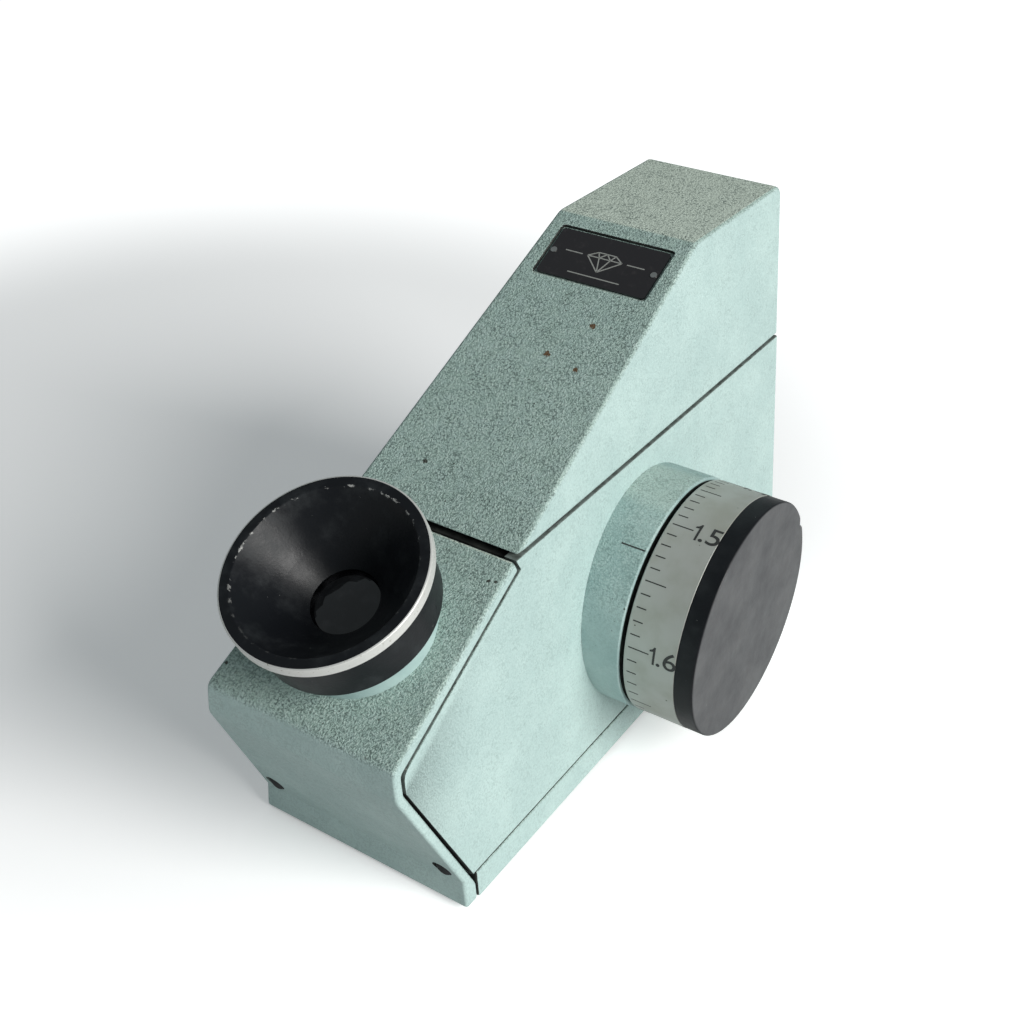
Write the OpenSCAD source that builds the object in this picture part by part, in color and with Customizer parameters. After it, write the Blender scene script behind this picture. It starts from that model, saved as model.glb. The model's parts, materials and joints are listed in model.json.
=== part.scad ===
// Dial-reading gem refractometer. A tapered metal case has an eyepiece on its sloping front
// panel, a hinged hood over the stone table, and an index dial on its right side.
// The origin is the centre of the resting face: +X to the dial, +Y to the back, +Z up.
// Inside the modules, y = 0 is the foot of the front and z = 0 is the underside of the case.

/* [Case] */
// Width across the foot of the case
case_w = 50; // [48:0.5:54]
// Length of the foot, front to back
case_len = 134.8; // [134:0.2:142]
// Height of the case without its rubber pad
case_h = 99.8; // [98:0.2:103]
// Lean of both sides towards the top, degrees
side_lean = 5; // [4.5:0.1:5.2]
// How far the nose overhangs the foot
nose_reach = 15.2; // [14.8:0.1:15.6]
// Height of the nose's lower corner
nose_z = 37.5; // [37:0.1:38]
// Height of the flat tip of the nose
nose_h = 6.8; // [6.4:0.1:7.2]
// Slope of the front panel and hood, degrees
slope = 26.8; // [26.4:0.1:27.2]
// Height of the upright lip under the nose
lip_h = 6.4; // [6:0.1:7]

/* [Shells] */
// Thickness of the front panel
panel_t = 2.7; // [2.5:0.1:2.8]
// Thickness of the skin under the nose
under_t = 2.1; // [1.9:0.1:2.3]
// Thickness of the upright lip
lip_t = 3.6; // [3.2:0.1:3.8]
// Thickness of the side panels
side_t = 2.6; // [2.4:0.1:2.8]
// Thickness of the hood's walls
lid_t = 2.4; // [2:0.1:2.8]
// Width of the grooves between panels
groove = 0.45; // [0.4:0.05:0.6]
// Thickness of the rubber pad
pad_t = 1; // [0.8:0.1:2]

/* [Dial] */
// Dial axis behind the foot of the front
dial_y = 69.7; // [69:0.1:71]
// Dial axis above the underside
dial_z = 33.8; // [33.4:0.1:34.2]
// Radius of the fixed barrel
barrel_r = 25.4; // [25.3:0.05:25.8]
// Outer end of the barrel from the centre plane
barrel_end = 30.4; // [30.2:0.1:30.6]
// Radius of the scale drum
drum_r = 25.2; // [25:0.05:25.25]
// Thickness of the dial's end cap
cap_t = 4.2; // [3.4:0.1:5]

/* [Eyepiece] */
// Eyepiece axis up the panel from the nose
eye_s = 21.4; // [21:0.1:21.8]
// Rim of the eyecup above the panel
cup_h = 20; // [20:0.1:21]
// Radius of the eyecup's rim
cup_r = 19.05; // [18.8:0.05:19.3]
// Radius of the eyecup's sleeve
sleeve_r = 17.2; // [17:0.1:17.6]
// Radius of the painted boss
boss_r = 14.3; // [14:0.1:14.5]

/* [Hidden] */
$fn = 96;

paint = "#9db8b3";
dark_metal = "#2a2b2d";
silver = "#a9aaa5";
steel = "#b8babd";
brass = "#b59a56";
optical = "#cfe4ea";
cut = 60; // reach of the tools that trim the case's shells

// Corners of the case's outline, as [y, z]
foot_front = [0, 0];
lip_top = [0, lip_h];
nose_low = [-nose_reach, nose_z];
nose_top = [-nose_reach, nose_z + nose_h];
slope_out = [cos(slope), sin(slope)];
slope_in = [sin(slope), -cos(slope)];
knee = nose_top + slope_out * (case_h - nose_top[1]) / sin(slope);

floor_t = 2.4;
base_top = lip_h - groove / 2;
panel_foot = base_top + groove;
rear_t = 3;
rear_in = case_len - rear_t;

// Parting between the body and the hood
parting_z = 64.2;
wall_top = parting_z - 0.3;
lid_z = parting_z + 0.3;
panel_end = 43.7; // length of the front panel up the slope

deck_z = 60;
deck_t = 3;
deck_top = deck_z + deck_t;
foot_spots = [42, 108];
deck_post = [13, 118];
deck_front = [13.4, 29.5];

// Front screws
front_screw = [20.4, 9.7];
counterbore_r = 2.1;

// Rear window, its frame and the screws in the back
window = [20, 10];
window_z = 46;
frame_size = [26, 15];
frame_screw_x = 11.4;
rear_screw_x = 13;
rear_screw_z = [12, 34];

// Recess on the hood, its plate and the plate's pins
recess = [26.4, 13.6];
recess_s = 112.6;
recess_d = 0.7;
plate = [25.2, 12.4];
plate_t = 0.5;
pin_x = 11.7;
pin_r = 0.45;

// Stone table
prism_w = 12;
prism_l = 16;
prism_y = 80;
prism_foot_z = 53.2;
prism_top = deck_top + 1;

// Dial stack along X
shoulder_r = 22.2;
barrel_floor = 28;
drum_start = barrel_end + 1;
drum_end = drum_start + 11.2;
cap_end = drum_end + cap_t;
shaft_r = 3;
running = 0.03;
bush_r = 5;
hub_r = 12;
hub_in = 17.9;
bracket_x = [6, 9];

// Lever plane, its pivot, follower and blade, as [y, z]
lever_x = [12, 13.6];
lever_pivot_at = [23.7, 14.7];
follower_at = [71.5, 21.9];
blade_at = [10.2, 41.5];
follower_r = 1.5;

// The cam's radius grows with the dial's angle, so the lever turns 1 degree for every 36
lever_gear = 36;
follower_arm = norm(follower_at - lever_pivot_at);
follower_dir = atan2(follower_at[1] - dial_z, follower_at[0] - dial_y);
cam_rest_r = norm(follower_at - [dial_y, dial_z]) - follower_r - 0.15;
cam_low = -82;
cam_high = 236;
function cam_r(turn) = cam_rest_r + follower_arm * turn / lever_gear * PI / 180;

// Optical path inside the case
mirror_at = [17.4, 27.2];
mirror_tilt = 18.5;
objective_at = [55, 45.7];
objective_tilt = 63.8;

// Eyepiece: its tube, the cup's bell and the viewing cone, as heights above the panel
tube_r = 12;
tube_in = 11;
seat_h = 13.2;
rim_in = 16.9;
throat = [6.2, 8.8];
cone_rate = (rim_in - throat[0]) / (cup_h - throat[1]);
function cone_r(h) = throat[0] + (h - throat[1]) * cone_rate;

// Hinge
hinge_y = case_len + 2.2;
hinge_z = parting_z + 0.1;
knuckle_r = 2.1;
hinge_half = 13;
case_knuckles = [[-13, -8], [-2.5, 2.5], [8, 13]];
lid_knuckles = [[-7.8, -2.7], [2.7, 7.8]];
leaf_t = 0.9;
leaf_case_z = [55.6, 61.8];
leaf_lid_z = [66.8, 73];
hinge_screw_x = 9;
hinge_screw_z = [59.2, 69.5];
hinge_screw_r = 0.8;

function half_w(z) = case_w / 2 - z * tan(side_lean);
function unit(v) = v / norm(v);
function right_of(v) = unit([v[1], -v[0]]);
function turned(p, a) = [p[0] * cos(a) - p[1] * sin(a), p[0] * sin(a) + p[1] * cos(a)];

// Point s up the slope from the nose, sunk by depth
function on_line(s, depth) = nose_top + s * slope_out + depth * slope_in;

// Corner of a path a-b-c set in by t1 from its first edge and t2 from its second
function inner_corner(a, b, c, t1, t2) =
    let (
        n1 = right_of(b - a),
        n2 = right_of(c - b),
        d = n1[0] * n2[1] - n1[1] * n2[0]
    )
    b + [t1 * n2[1] - t2 * n1[1], t2 * n1[0] - t1 * n2[0]] / d;

// The corner b of a path a-b-c as an arc of radius r
function arc_corner(a, b, c, r) =
    let (
        u = unit(a - b),
        v = unit(c - b),
        opening = acos(u * v),
        centre = b + unit(u + v) * r / sin(opening / 2),
        start = b + u * r / tan(opening / 2) - centre,
        way = u[0] * v[1] - u[1] * v[0] < 0 ? 1 : -1,
        steps = ceil((180 - opening) / 12)
    )
    [for (i = [0:steps]) centre + turned(start, way * (180 - opening) * i / steps)];

function rounded(pts, radii) =
    let (n = len(pts))
    [
        for (i = [0:n - 1])
            each radii[i] == 0
                ? [pts[i]]
                : arc_corner(pts[(i + n - 1) % n], pts[i], pts[(i + 1) % n], radii[i])
    ];

function box_path(w, l) = [[-w / 2, -l / 2], [w / 2, -l / 2], [w / 2, l / 2], [-w / 2, l / 2]];

module at_case() {
    translate([0, -case_len / 2, pad_t]) children();
}

// Local x stays X, y runs up the slope and z stands off it
module on_slope(s) {
    translate([0, nose_top[0], nose_top[1]]) rotate([slope, 0, 0]) translate([0, s, 0]) children();
}

// Local z becomes X, on the dial's axis
module at_dial(x = 0) {
    translate([x, dial_y, dial_z]) rotate([0, 90, 0]) children();
}

// A [y, z] outline given thickness along X
module along_x(x0, x1) {
    translate([x0, 0, 0]) rotate([90, 0, 90]) linear_extrude(x1 - x0) children();
}

// The space between the case's two leaning sides, less inset on each side
module between_sides(inset) {
    low = -5;
    high = 110;
    translate([0, 150, 0]) rotate([90, 0, 0]) linear_extrude(180)
        polygon([
            [inset - half_w(low), low], [half_w(low) - inset, low],
            [half_w(high) - inset, high], [inset - half_w(high), high]
        ]);
}

// A leaning sheet under the right side, from t0 to t1 below its surface
module side_sheet(t0, t1, y0, y1, z0, z1) {
    translate([0, y1, 0]) rotate([90, 0, 0]) linear_extrude(y1 - y0)
        polygon([
            [half_w(z0) - t1, z0], [half_w(z0) - t0, z0],
            [half_w(z1) - t0, z1], [half_w(z1) - t1, z1]
        ]);
}

// A block across the case, trimmed by the leaning sides
module slab(inset, y0, y1, z0, z1) {
    intersection() {
        between_sides(inset);
        translate([-cut / 2, y0, z0]) cube([cut, y1 - y0, z1 - z0]);
    }
}

// A block that reaches from x0 to the inner face of the right side panel
module side_block(x0, y0, y1, z0, z1) {
    intersection() {
        between_sides(side_t - 0.01);
        translate([x0, y0, z0]) cube([cut, y1 - y0, z1 - z0]);
    }
}

module both_sides() {
    for (side = [0, 1]) mirror([side, 0, 0]) children();
}

// A countersunk-style screw: head on top, shank below z = 0
module screw(head_r, head_h, shank_r, length) {
    difference() {
        cylinder(r = head_r, h = head_h);
        translate([-head_r, -0.25, head_h - 0.6]) cube([2 * head_r, 0.5, 1]);
    }
    translate([0, 0, -length]) cylinder(r = shank_r, h = length + 0.1);
}

module tube(r_out, r_in, h) {
    difference() {
        cylinder(r = r_out, h = h);
        translate([0, 0, -1]) cylinder(r = r_in, h = h + 2);
    }
}

// A flat bar with round ends between two points of an outline
module bar(p, q, r) {
    translate(p) circle(r);
    translate(q) circle(r);
    translate(p) rotate(atan2(q[1] - p[1], q[0] - p[0])) translate([0, -r]) square([norm(q - p), 2 * r]);
}

// Plano-convex lens, flat face down
module lens(r, edge, bulge) {
    ball = (r * r + bulge * bulge) / (2 * bulge);
    half = asin(r / ball);
    rotate_extrude()
        polygon(concat(
            [[0, 0], [r, 0]],
            [for (i = [0:8]) let (a = half * (1 - i / 8)) [ball * sin(a), edge + bulge - ball * (1 - cos(a))]]
        ));
}

// ---------------------------------------------------------------- case

module base_plate() {
    rim = 3;
    front = lip_t + groove / 2;
    spans = [[14, 37], [47, 103], [113, 125]];
    color(paint) at_case() difference() {
        union() {
            difference() {
                slab(0, front, case_len, 0, base_top);
                slab(rim, front + rim, rear_in, floor_t, cut);
            }
            both_sides() for (s = spans) side_sheet(side_t, side_t + 2, s[0], s[1], floor_t - 0.5, 10);
            translate([-9.5, rear_in - 2, floor_t - 0.5]) cube([19, 1.8, 8]);
            both_sides() for (y = foot_spots)
                translate([18, y, floor_t - 0.5]) cylinder(r = 3, h = panel_foot - floor_t + 0.5);
        }
        both_sides() for (y = foot_spots) translate([18, y, -1]) {
            cylinder(r = 1.3, h = 12);
            cylinder(r = 2.4, h = 2.3);
        }
    }
}

module base_pad() {
    margin = 1.8;
    color("#1d1d1e") at_case() translate([0, case_len / 2, -pad_t]) difference() {
        linear_extrude(pad_t)
            polygon(rounded(box_path(case_w - 2 * margin, case_len - 2 * margin), [4, 4, 4, 4]));
        both_sides() for (y = foot_spots)
            translate([18, y - case_len / 2, -1]) cylinder(r = 2.6, h = pad_t + 2);
    }
}

function under_corners(gap) = [
    inner_corner(lip_top, nose_low, nose_top, under_t + gap, under_t + gap),
    inner_corner(nose_low, nose_top, knee, under_t + gap, panel_t + gap)
];

// Points at height z, set in by depth from the face under the nose and from the slope
function under_at(z, depth) =
    let (along = unit(nose_low - lip_top), across = right_of(along))
    lip_top + depth * across + along * (z - lip_h - depth * across[1]) / along[1];
function slope_at(z, depth) = on_line((z - nose_top[1] + depth * cos(slope)) / sin(slope), depth);

module front_cover() {
    lip_in = [lip_t, 0];
    lip_corner = inner_corner(foot_front, lip_top, nose_low, lip_t, under_t);
    cheek = 7;
    outer = [foot_front, lip_top, nose_low, nose_top, on_line(panel_end, 0)];
    skin = concat(
        outer,
        [on_line(panel_end, panel_t), under_corners(0)[1], under_corners(0)[0], lip_corner, lip_in]
    );
    cheek_foot = 14;
    cheek_path = [
        under_at(cheek_foot, 1), under_corners(-1)[0], under_corners(-1)[1],
        slope_at(deck_z, under_t), slope_at(deck_z, cheek),
        inner_corner(nose_low, nose_top, knee, cheek, cheek),
        inner_corner(lip_top, nose_low, nose_top, cheek, cheek),
        under_at(cheek_foot, cheek)
    ];
    color(paint) at_case() difference() {
        union() {
            intersection() {
                between_sides(0);
                along_x(-cut / 2, cut / 2)
                    polygon(rounded(skin, [0, 2, 5, 2.5, 0.6, 0, 1, 2, 0, 0]));
            }
            both_sides() intersection() {
                side_sheet(side_t, side_t + 2, -30, 50, 0, deck_z + 10);
                along_x(0, cut) polygon(cheek_path);
            }
            both_sides() side_block(10.4, 25.6, 33.5, 54, deck_z);
        }
        on_slope(eye_s) translate([0, 0, -10]) cylinder(r = 13, h = 20);
        both_sides() translate([front_screw[0], -20, front_screw[1]]) rotate([-90, 0, 0]) {
            cylinder(r = 1.05, h = 30);
            cylinder(r = counterbore_r, h = 19.7);
        }
        both_sides() translate([deck_front[0], deck_front[1], 50]) cylinder(r = 1, h = 20);
    }
}

// The outline that the front cover, base and hood leave for a side panel
module side_outline() {
    gap = groove;
    below = -12;
    foot_corner = inner_corner(foot_front, lip_top, nose_low, lip_t + gap, under_t + gap);
    polygon(rounded(
        [
            [foot_corner[0], below],
            foot_corner,
            under_corners(gap)[0],
            under_corners(gap)[1],
            on_line(panel_end + gap, panel_t + gap),
            on_line(panel_end + gap, -gap),
            [case_len, parting_z + 2],
            [case_len, below]
        ],
        [0, 0, 1, 2.5, 0, 0, 0, 0]
    ));
}

module side_panel(dial_side) {
    difference() {
        union() {
            intersection() {
                side_sheet(0, side_t, -30, case_len, panel_foot, wall_top);
                along_x(0, cut) side_outline();
            }
            intersection() {
                side_block(17.2, 0, 12, panel_foot, 13.2);
                along_x(0, cut) side_outline();
            }
            for (y = foot_spots) side_block(15.2, y - 4, y + 4, panel_foot, 12);
            for (z = rear_screw_z) side_block(10, 126, rear_in, z - 3, z + 3);
        }
        translate([front_screw[0], -20, front_screw[1]]) rotate([-90, 0, 0]) cylinder(r = 1, h = 30);
        for (y = foot_spots) translate([18, y, 0]) cylinder(r = 1, h = 11);
        for (z = rear_screw_z) translate([rear_screw_x, case_len, z]) rotate([90, 0, 0]) cylinder(r = 1, h = 8);
        if (dial_side) {
            at_dial() cylinder(r = hub_r, h = cut);
            barrel_screw_spots() translate([0, 0, -20]) cylinder(r = 1, h = 40);
        }
    }
}

module side_panel_right() {
    color(paint) at_case() side_panel(true);
}

module side_panel_left() {
    color(paint) at_case() mirror([1, 0, 0]) side_panel(false);
}

module rear_panel() {
    color(paint) at_case() difference() {
        slab(side_t, rear_in, case_len, panel_foot, wall_top);
        translate([-window[0] / 2, rear_in - 1, window_z - window[1] / 2]) cube([window[0], 10, window[1]]);
        both_sides() for (z = rear_screw_z)
            translate([rear_screw_x, case_len + 1, z]) rotate([90, 0, 0]) cylinder(r = 1, h = 8);
        both_sides() translate([frame_screw_x, case_len + 1, window_z]) rotate([90, 0, 0]) cylinder(r = 1, h = 8);
        both_sides() translate([hinge_screw_x, case_len + 1, hinge_screw_z[0]]) rotate([90, 0, 0])
            cylinder(r = hinge_screw_r, h = 8);
    }
}

module window_frame() {
    sight = [17, 7];
    color(dark_metal) at_case() translate([0, case_len, window_z]) rotate([-90, 0, 0]) difference() {
        linear_extrude(1.2) polygon(rounded(box_path(frame_size[0], frame_size[1]), [2, 2, 2, 2]));
        translate([-sight[0] / 2, -sight[1] / 2, -1]) cube([sight[0], sight[1], 4]);
        both_sides() translate([frame_screw_x, 0, -1]) cylinder(r = 1, h = 4);
    }
}

module light_filter() {
    color("#d9a520") at_case()
        translate([-window[0] / 2, case_len - 2.2, window_z - window[1] / 2]) cube([window[0], 2.2, window[1]]);
}

module stage_deck() {
    hole = 0.1;
    color("#4a5250") at_case() difference() {
        slab(side_t, 25.3, rear_in, deck_z, deck_top);
        translate([-prism_w / 2 - hole, prism_y - prism_l / 2 - hole, deck_z - 1])
            cube([prism_w + 2 * hole, prism_l + 2 * hole, deck_t + 2]);
        both_sides() for (p = [deck_front, deck_post])
            translate([p[0], p[1], deck_z - 1]) cylinder(r = 1.1, h = 5);
    }
}

module contact_plate() {
    w = 22;
    l = 28;
    color(steel) at_case() translate([0, prism_y, deck_top]) difference() {
        linear_extrude(0.8) polygon(rounded(box_path(w, l), [3, 3, 3, 3]));
        translate([-prism_w / 2 - 0.1, -prism_l / 2 - 0.1, -1]) cube([prism_w + 0.2, prism_l + 0.2, 3]);
    }
}

module table_prism() {
    lean = (prism_top - prism_foot_z) * tan(26.2);
    color(optical) at_case() along_x(-prism_w / 2, prism_w / 2)
        polygon([
            [prism_y - prism_l / 2, prism_top],
            [prism_y + prism_l / 2, prism_top],
            [prism_y + prism_l / 2 - lean, prism_foot_z],
            [prism_y - prism_l / 2 + lean, prism_foot_z]
        ]);
}

module prism_cradle() {
    cheek = 2;
    color(dark_metal) at_case() {
        both_sides() translate([prism_w / 2, prism_y - 7, prism_foot_z - 3])
            cube([cheek, 14, deck_z - prism_foot_z + 3]);
        translate([-prism_w / 2 - 0.1, prism_y - 3, prism_foot_z - 3]) cube([prism_w + 0.2, 6, 3]);
    }
}

module deck_pillars() {
    color(steel) at_case() both_sides() translate([deck_post[0], deck_post[1], floor_t]) difference() {
        cylinder(r = 2.5, h = deck_z - floor_t);
        translate([0, 0, deck_z - floor_t - 8]) cylinder(r = 1, h = 10);
    }
}

module deck_screws() {
    color(steel) at_case() both_sides() for (p = [deck_front, deck_post])
        translate([p[0], p[1], deck_top]) screw(1.9, 1, 1, 7);
}

module front_screws() {
    color(steel) at_case() both_sides()
        translate([front_screw[0], -0.3, front_screw[1]]) rotate([90, 0, 0]) screw(1.95, 0.7, 1, 8);
}

module base_screws() {
    color(steel) at_case() both_sides() for (y = foot_spots)
        translate([18, y, 1.3]) rotate([180, 0, 0]) screw(2.2, 1.2, 1, 9);
}

module rear_screws() {
    color(steel) at_case() {
        both_sides() for (z = rear_screw_z)
            translate([rear_screw_x, case_len, z]) rotate([-90, 0, 0]) screw(1.9, 1, 1, 7);
        both_sides() translate([frame_screw_x, case_len + 1.2, window_z]) rotate([-90, 0, 0])
            screw(1.4, 0.8, 1, 4);
    }
}

// ---------------------------------------------------------------- hood

module lid_shell() {
    front = on_line((lid_z - nose_top[1]) / sin(slope), 0);
    back = [case_len, lid_z];
    crown = [case_len, case_h];
    outer = [front, knee, crown, back];
    inner_knee = inner_corner(front, knee, crown, lid_t, lid_t);
    inner_front = inner_knee - slope_out * 90;
    color(paint) at_case() difference() {
        intersection() {
            between_sides(0);
            along_x(-cut / 2, cut / 2) polygon(rounded(outer, [0, 4, 2.5, 0]));
        }
        intersection() {
            between_sides(lid_t);
            along_x(-cut / 2, cut / 2)
                polygon(rounded(
                    [inner_front, inner_knee, crown - [lid_t, lid_t], [case_len - lid_t, inner_front[1]]],
                    [0, 2, 1, 0]
                ));
        }
        on_slope(recess_s) translate([0, 0, -recess_d]) linear_extrude(5)
            polygon(rounded(box_path(recess[0], recess[1]), [0.8, 0.8, 0.8, 0.8]));
        on_slope(recess_s) both_sides() translate([pin_x, 0, -4]) cylinder(r = pin_r, h = 8);
        both_sides() translate([hinge_screw_x, case_len + 1, hinge_screw_z[1]]) rotate([90, 0, 0])
            cylinder(r = hinge_screw_r, h = 5);
    }
}

module name_plate() {
    color(dark_metal) at_case() on_slope(recess_s) translate([0, 0, -recess_d]) difference() {
        linear_extrude(plate_t) polygon(rounded(box_path(plate[0], plate[1]), [0.6, 0.6, 0.6, 0.6]));
        both_sides() translate([pin_x, 0, -4]) cylinder(r = pin_r, h = 8);
    }
}

module plate_pins() {
    color(steel) at_case() on_slope(recess_s) both_sides() {
        translate([pin_x, 0, plate_t - recess_d]) cylinder(r = 0.7, h = 0.15);
        translate([pin_x, 0, -2.2]) cylinder(r = pin_r, h = 2.1);
    }
}

module lid_buffers() {
    color("#1d1d1e") at_case() both_sides() for (y = [36, 122])
        translate([half_w(wall_top) - 2, y, wall_top]) cube([1.4, 6, lid_z - wall_top - 0.05]);
}

module knuckles(spans, r) {
    for (s = spans)
        translate([s[0], hinge_y, hinge_z]) rotate([0, 90, 0]) cylinder(r = r, h = s[1] - s[0], $fn = 48);
}

// One leaf: a plate on the back, joined to its knuckles
module hinge_leaf(spans, plate_z, tongue_z, screw_z) {
    bore_r = 1.05;
    difference() {
        union() {
            translate([-hinge_half, case_len, plate_z[0]])
                cube([2 * hinge_half, leaf_t, plate_z[1] - plate_z[0]]);
            for (s = spans)
                translate([s[0], case_len, tongue_z[0]]) cube([s[1] - s[0], leaf_t, tongue_z[1] - tongue_z[0]]);
            knuckles(spans, knuckle_r);
        }
        translate([-cut / 2, hinge_y, hinge_z]) rotate([0, 90, 0]) cylinder(r = bore_r, h = cut);
        both_sides() translate([hinge_screw_x, case_len + 2, screw_z]) rotate([90, 0, 0])
            cylinder(r = hinge_screw_r, h = 4);
    }
}

module hinge_leaf_case() {
    color(steel) at_case() hinge_leaf(case_knuckles, leaf_case_z, [61, hinge_z], hinge_screw_z[0]);
}

module hinge_leaf_lid() {
    color(steel) at_case() hinge_leaf(lid_knuckles, leaf_lid_z, [hinge_z, 67], hinge_screw_z[1]);
}

module hinge_pin() {
    color(steel) at_case() translate([-hinge_half - 0.4, hinge_y, hinge_z]) rotate([0, 90, 0])
        cylinder(r = 1, h = 2 * hinge_half + 0.8);
}

module hinge_screws_case() {
    color(steel) at_case() both_sides()
        translate([hinge_screw_x, case_len + leaf_t, hinge_screw_z[0]]) rotate([-90, 0, 0])
            screw(1.3, 0.7, hinge_screw_r, 3.5);
}

module hinge_screws_lid() {
    color(steel) at_case() both_sides()
        translate([hinge_screw_x, case_len + leaf_t, hinge_screw_z[1]]) rotate([-90, 0, 0])
            screw(1.3, 0.7, hinge_screw_r, 3);
}

// ---------------------------------------------------------------- dial

// Places its children at the three screws between side panel and barrel, on the panel's inner face
module barrel_screw_spots() {
    ring = 19;
    for (a = [90, 210, 330]) {
        z = dial_z + ring * sin(a);
        translate([half_w(z) - side_t, dial_y + ring * cos(a), z]) rotate([0, 90, 0]) children();
    }
}

module dial_barrel() {
    color(paint) at_case() difference() {
        union() {
            difference() {
                at_dial(10) cylinder(r = barrel_r, h = barrel_end - 10, $fn = 128);
                between_sides(0);
            }
            at_dial(hub_in) cylinder(r = hub_r, h = barrel_floor - hub_in);
        }
        at_dial(barrel_floor) cylinder(r = shoulder_r + 0.3, h = 10);
        at_dial(0) cylinder(r = bush_r, h = cut);
        barrel_screw_spots() cylinder(r = 1, h = 6.5);
    }
}

module barrel_screws() {
    color(steel) at_case() barrel_screw_spots() translate([0, 0, -0.2]) mirror([0, 0, 1]) screw(1.8, 1.1, 1, 6.5);
}

module shaft_bush_outer() {
    color(brass) at_case() at_dial(hub_in) tube(bush_r, shaft_r + running, barrel_floor - hub_in);
}

module shaft_bush_inner() {
    color(brass) at_case() at_dial(bracket_x[0]) tube(bush_r, shaft_r + running, bracket_x[1] - bracket_x[0]);
}

module bearing_bracket() {
    half = 8;
    color(dark_metal) at_case() difference() {
        union() {
            translate([bracket_x[0], dial_y - half, floor_t])
                cube([bracket_x[1] - bracket_x[0], 2 * half, 40 - floor_t]);
            translate([bracket_x[0] - 8, dial_y - half, floor_t]) cube([9, 2 * half, 2.4]);
        }
        at_dial(0) cylinder(r = bush_r, h = cut);
    }
}

module friction_washer() {
    color(brass) at_case() at_dial(barrel_floor) tube(8, 3.2, 1.2);
}

module dial_shaft() {
    end = 37;
    clip_x = 5;
    color(steel) at_case() difference() {
        at_dial(4.2) cylinder(r = shaft_r, h = end - 4.2);
        at_dial(clip_x) tube(4, 2.4, 0.8);
        at_dial(end - 8) cylinder(r = 1.2, h = 9);
    }
}

module shaft_clip() {
    color(dark_metal) at_case() at_dial(5) tube(4.2, 2.4, 0.8);
}

module dial_drum() {
    web = [35, 37];
    boss = 29.3;
    wall_in = 21.5;
    color(silver) at_case() at_dial() rotate_extrude($fn = 128)
        polygon([
            [shaft_r, boss], [7, boss], [7, web[0]], [19.5, web[0]], [19.5, barrel_floor + 0.8],
            [shoulder_r, barrel_floor + 0.8], [shoulder_r, drum_start], [drum_r, drum_start],
            [drum_r, drum_end], [wall_in, drum_end], [wall_in, web[1]], [shaft_r, web[1]]
        ]);
}

module drum_screw() {
    color(steel) at_case() at_dial(37) screw(4.2, 2, 1.2, 8);
}

module dial_cap() {
    bevel = 0.4;
    spigot = [17, 21.4];
    rim = drum_r - 0.05;
    color(dark_metal) at_case() at_dial() rotate_extrude($fn = 128)
        polygon([
            [0, cap_end], [rim - bevel, cap_end], [rim, cap_end - bevel], [rim, drum_end],
            [spigot[1], drum_end], [spigot[1], drum_end - 3], [spigot[0], drum_end - 3],
            [spigot[0], drum_end - 0.6], [0, drum_end - 0.6]
        ]);
}

// Plate cam: its radius follows the dial's angle over the scale, then runs back to the start
module index_cam() {
    step = 6;
    drop = [cam_high + 8, cam_low + 360 - 8];
    rise = [for (turn = [cam_low:step:cam_high]) turned([cam_r(turn), 0], follower_dir + turn)];
    back = [
        for (i = [0:5]) let (turn = drop[0] + (drop[1] - drop[0]) * i / 5)
            turned([cam_r(cam_high + (cam_low - cam_high) * i / 5), 0], follower_dir + turn)
    ];
    color(brass) at_case() difference() {
        translate([0, dial_y, dial_z]) union() {
            along_x(14.2, 17) polygon(concat(rise, back));
            along_x(10.4, 14.3) circle(6);
        }
        at_dial(0) cylinder(r = shaft_r, h = cut);
        translate([12.2, dial_y, dial_z]) rotate([-60, 0, 0]) cylinder(r = 0.9, h = 10);
    }
}

module cam_screw() {
    color(steel) at_case() translate([12.2, dial_y, dial_z]) rotate([-60, 0, 0])
        translate([0, 0, shaft_r]) cylinder(r = 0.9, h = 3.2);
}

// ---------------------------------------------------------------- index lever

module follower_lever() {
    color(dark_metal) at_case() along_x(lever_x[0], lever_x[1]) difference() {
        union() {
            translate(lever_pivot_at) circle(5);
            bar(lever_pivot_at, follower_at, 2.6);
            bar(lever_pivot_at, blade_at, 2.2);
        }
        translate(lever_pivot_at) circle(2.55);
        translate(follower_at) circle(follower_r);
    }
}

module follower_pin() {
    color(steel) at_case() translate([lever_x[0], follower_at[0], follower_at[1]]) rotate([0, 90, 0])
        cylinder(r = follower_r, h = 5.4);
}

module lever_pivot() {
    shoulder = [11.9, 18];
    color(steel) at_case() translate([0, lever_pivot_at[0], lever_pivot_at[1]]) rotate([0, 90, 0]) {
        translate([0, 0, 9]) cylinder(r = 1.5, h = 3);
        translate([0, 0, shoulder[0]]) cylinder(r = 2.5, h = shoulder[1] - shoulder[0]);
        translate([0, 0, shoulder[1] - 0.1]) cylinder(r = 3.4, h = 1.1);
    }
}

module lever_bracket() {
    color(dark_metal) at_case() difference() {
        union() {
            translate([9, 17.7, floor_t]) cube([2.9, 12, 18.3]);
            translate([9, 17.7, floor_t]) cube([7, 12, 2]);
        }
        translate([0, lever_pivot_at[0], lever_pivot_at[1]]) rotate([0, 90, 0]) cylinder(r = 1.5, h = 20);
    }
}

// Thin bar across the beam, edge on to the eyepiece
module shadow_blade() {
    reach = [-7, lever_x[0]];
    color(dark_metal) at_case() translate([0, blade_at[0], blade_at[1]]) rotate([slope, 0, 0])
        translate([reach[0], -0.8, -0.25]) cube([reach[1] - reach[0], 1.6, 0.5]);
}

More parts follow.
